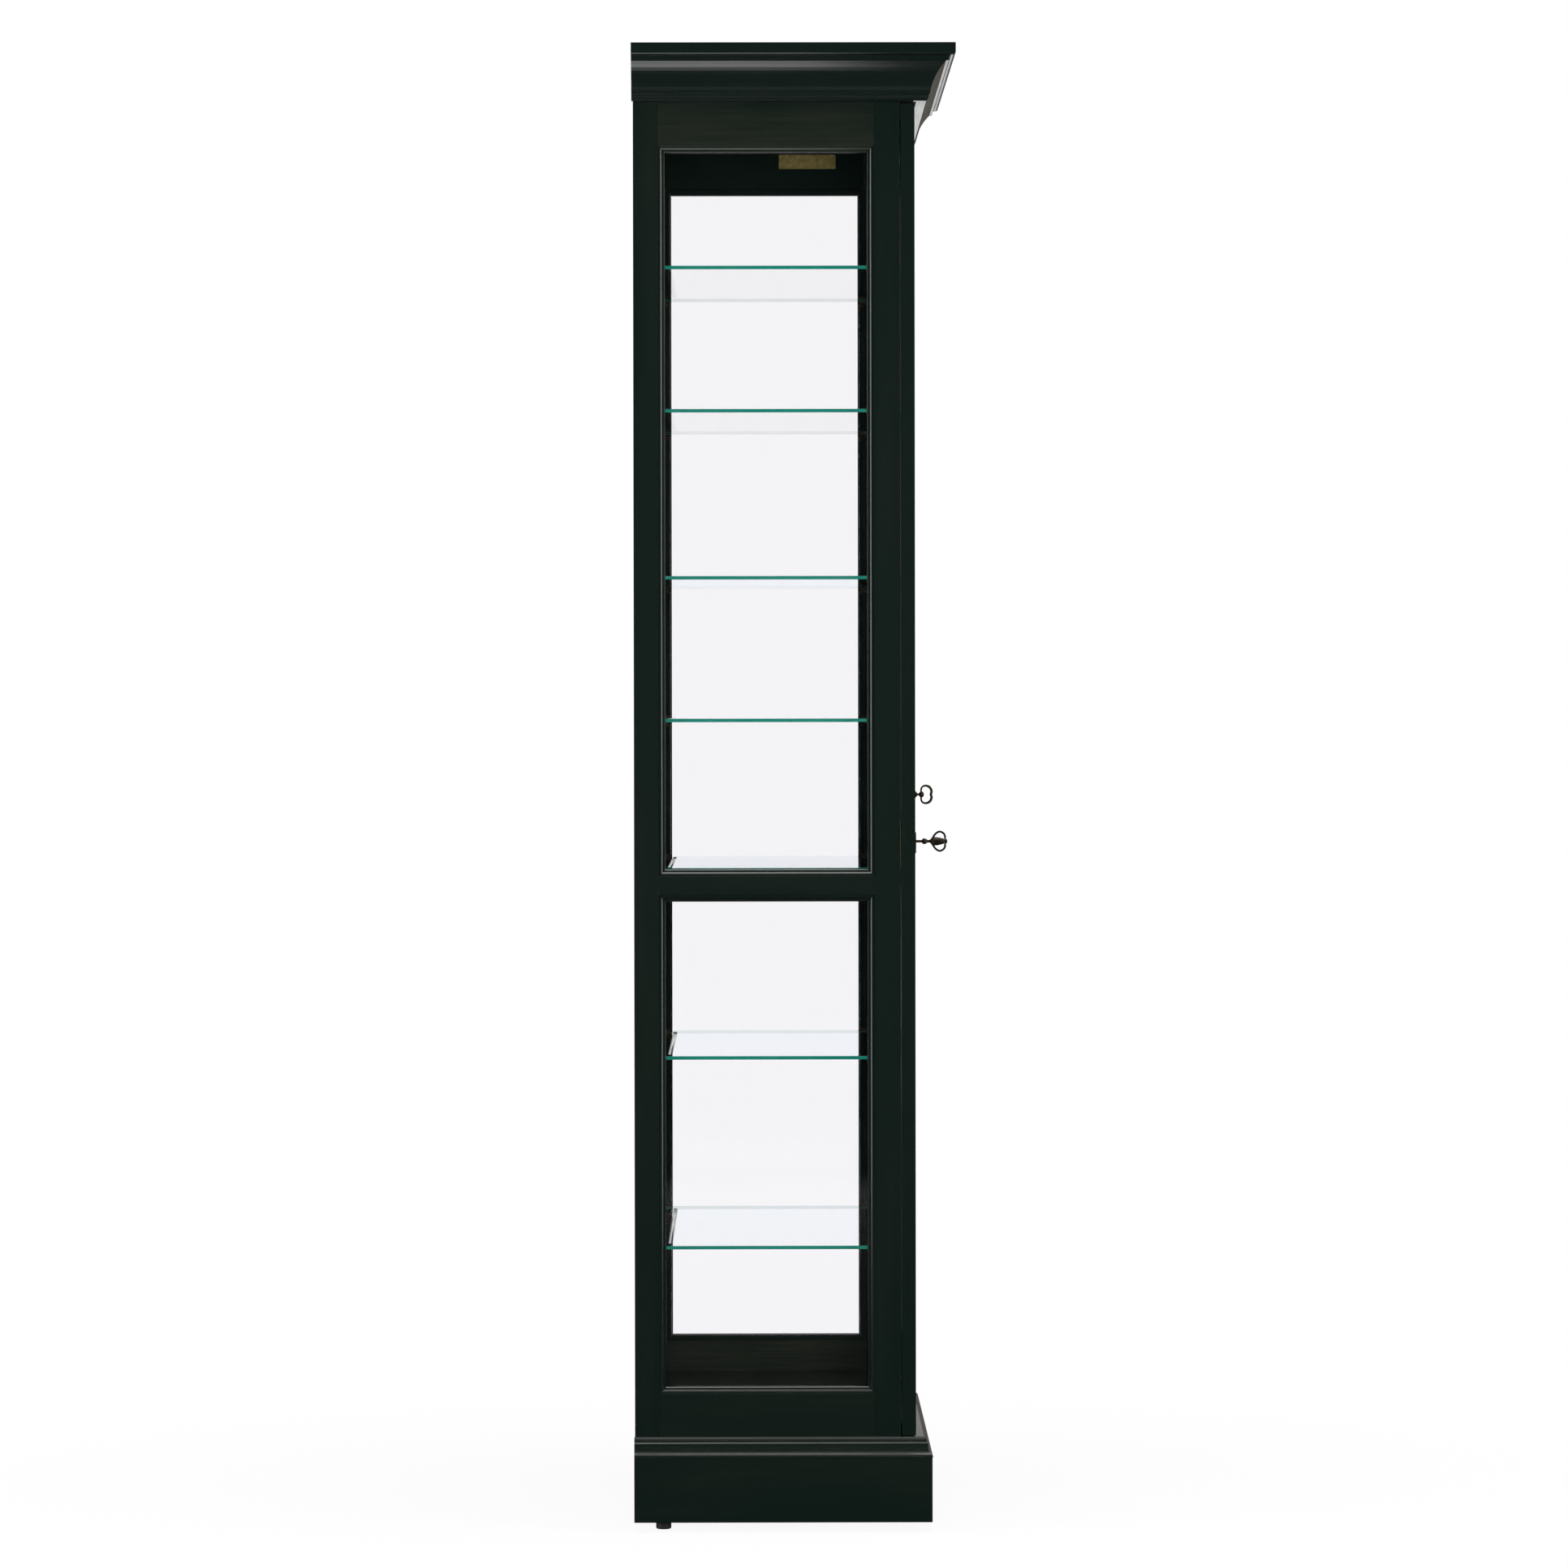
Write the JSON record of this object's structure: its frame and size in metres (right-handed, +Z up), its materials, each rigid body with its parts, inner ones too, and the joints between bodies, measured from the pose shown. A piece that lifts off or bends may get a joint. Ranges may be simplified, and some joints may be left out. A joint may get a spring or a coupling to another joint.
{
  "type": "glass display showcase",
  "caption": "Tall black-lacquered display cabinet with glazed sides, glass shelves, crown moulding and plinth, and a lockable glazed door hinged on its right side.",
  "frame": {"origin": "on the floor, under the middle of the bounding box", "axes": "+Z up, -Y out of the door's front, +X towards the door's hinges"},
  "size_m": [0.848, 0.442, 2.032],
  "materials": {
    "black_lacquer": "satin black lacquer over wood",
    "clear_glass": "polished clear float glass with green edges",
    "mirror": "silvered",
    "brass": "brushed brass",
    "bronze": "dark antique bronze",
    "hinge_steel": "satin",
    "nylon": "moulded"
  },
  "bodies": {
    "cabinet": {"back_mirror": "mirror", "back_panel": "black_lacquer", "base_cap_front": "black_lacquer", "base_cap_left": "black_lacquer", "base_cap_right": "black_lacquer", "blank_nameplate": "brass", "crown_front": "black_lacquer", "crown_left": "black_lacquer", "crown_right": "black_lacquer", "floor_panel": "black_lacquer", "foot_runner_front": "black_lacquer", "foot_runner_rear": "black_lacquer", "glass_shelf_1": "clear_glass", "glass_shelf_2": "clear_glass", "glass_shelf_3": "clear_glass", "glass_shelf_4": "clear_glass", "glass_shelf_5": "clear_glass", "glass_shelf_6": "clear_glass", "glass_shelf_7": "clear_glass", "left_back_stile": "black_lacquer", "left_bottom_rail": "black_lacquer", "left_front_stile": "black_lacquer", "left_lower_glass": "clear_glass", "left_mid_rail": "black_lacquer", "left_top_rail": "black_lacquer", "left_upper_glass": "clear_glass", "lower_hinge_carcass_leaf": "hinge_steel", "middle_hinge_carcass_leaf": "hinge_steel", "plinth_back": "black_lacquer", "plinth_front": "black_lacquer", "plinth_left": "black_lacquer", "plinth_right": "black_lacquer", "right_back_stile": "black_lacquer", "right_bottom_rail": "black_lacquer", "right_front_stile": "black_lacquer", "right_lower_glass": "clear_glass", "right_mid_rail": "black_lacquer", "right_top_rail": "black_lacquer", "right_upper_glass": "clear_glass", "top_panel": "black_lacquer", "upper_hinge_carcass_leaf": "hinge_steel"},
    "door": {"door_bottom_rail": "black_lacquer", "door_hinge_stile": "black_lacquer", "door_lock_stile": "black_lacquer", "door_lower_glass": "clear_glass", "door_mid_rail": "black_lacquer", "door_top_rail": "black_lacquer", "door_upper_glass": "clear_glass", "lower_hinge_door_leaf": "hinge_steel", "middle_hinge_door_leaf": "hinge_steel", "upper_hinge_door_leaf": "hinge_steel", "pull": "bronze", "escutcheon": "bronze", "lock_case": "brass"},
    "key": {"key": "bronze"},
    "lock_bolt": {"lock_bolt": "brass"},
    "levelling_foot_front_left": {"levelling_foot_front_left": "nylon"},
    "levelling_foot_front_right": {"levelling_foot_front_right": "nylon"},
    "levelling_foot_rear_left": {"levelling_foot_rear_left": "nylon"},
    "levelling_foot_rear_right": {"levelling_foot_rear_right": "nylon"}
  },
  "joints": [
    {"name": "door_swing", "type": "hinge", "parent": "cabinet", "child": "door", "pos_m": [0.3853, -0.14585, 1.042], "axis": [0, 0, 1], "range_deg": [0, 115]},
    {"name": "key_turn", "type": "hinge", "parent": "door", "child": "key", "pos_m": [-0.346, -0.1657, 0.9441], "axis": [0, 1, 0], "range_deg": [0, 90]},
    {"name": "lock_bolt_throw", "type": "slide", "parent": "door", "child": "lock_bolt", "axis": [-1, 0, 0], "range_m": [0, 0.0083]},
    {"name": "foot_turn_front_left", "type": "hinge", "parent": "cabinet", "child": "levelling_foot_front_left", "pos_m": [-0.256, -0.14, 0], "axis": [0, 0, 1], "range_deg": [-180, 180]},
    {"name": "foot_turn_front_right", "type": "hinge", "parent": "cabinet", "child": "levelling_foot_front_right", "pos_m": [0.256, -0.14, 0], "axis": [0, 0, 1], "range_deg": [-180, 180]},
    {"name": "foot_turn_rear_left", "type": "hinge", "parent": "cabinet", "child": "levelling_foot_rear_left", "pos_m": [-0.347, 0.1804, 0], "axis": [0, 0, 1], "range_deg": [-180, 180]},
    {"name": "foot_turn_rear_right", "type": "hinge", "parent": "cabinet", "child": "levelling_foot_rear_right", "pos_m": [0.347, 0.1804, 0], "axis": [0, 0, 1], "range_deg": [-180, 180]}
  ],
  "couplings": [
    {"joint": "lock_bolt_throw", "follows": "key_turn", "m_per_rad": 0.00509}
  ]
}
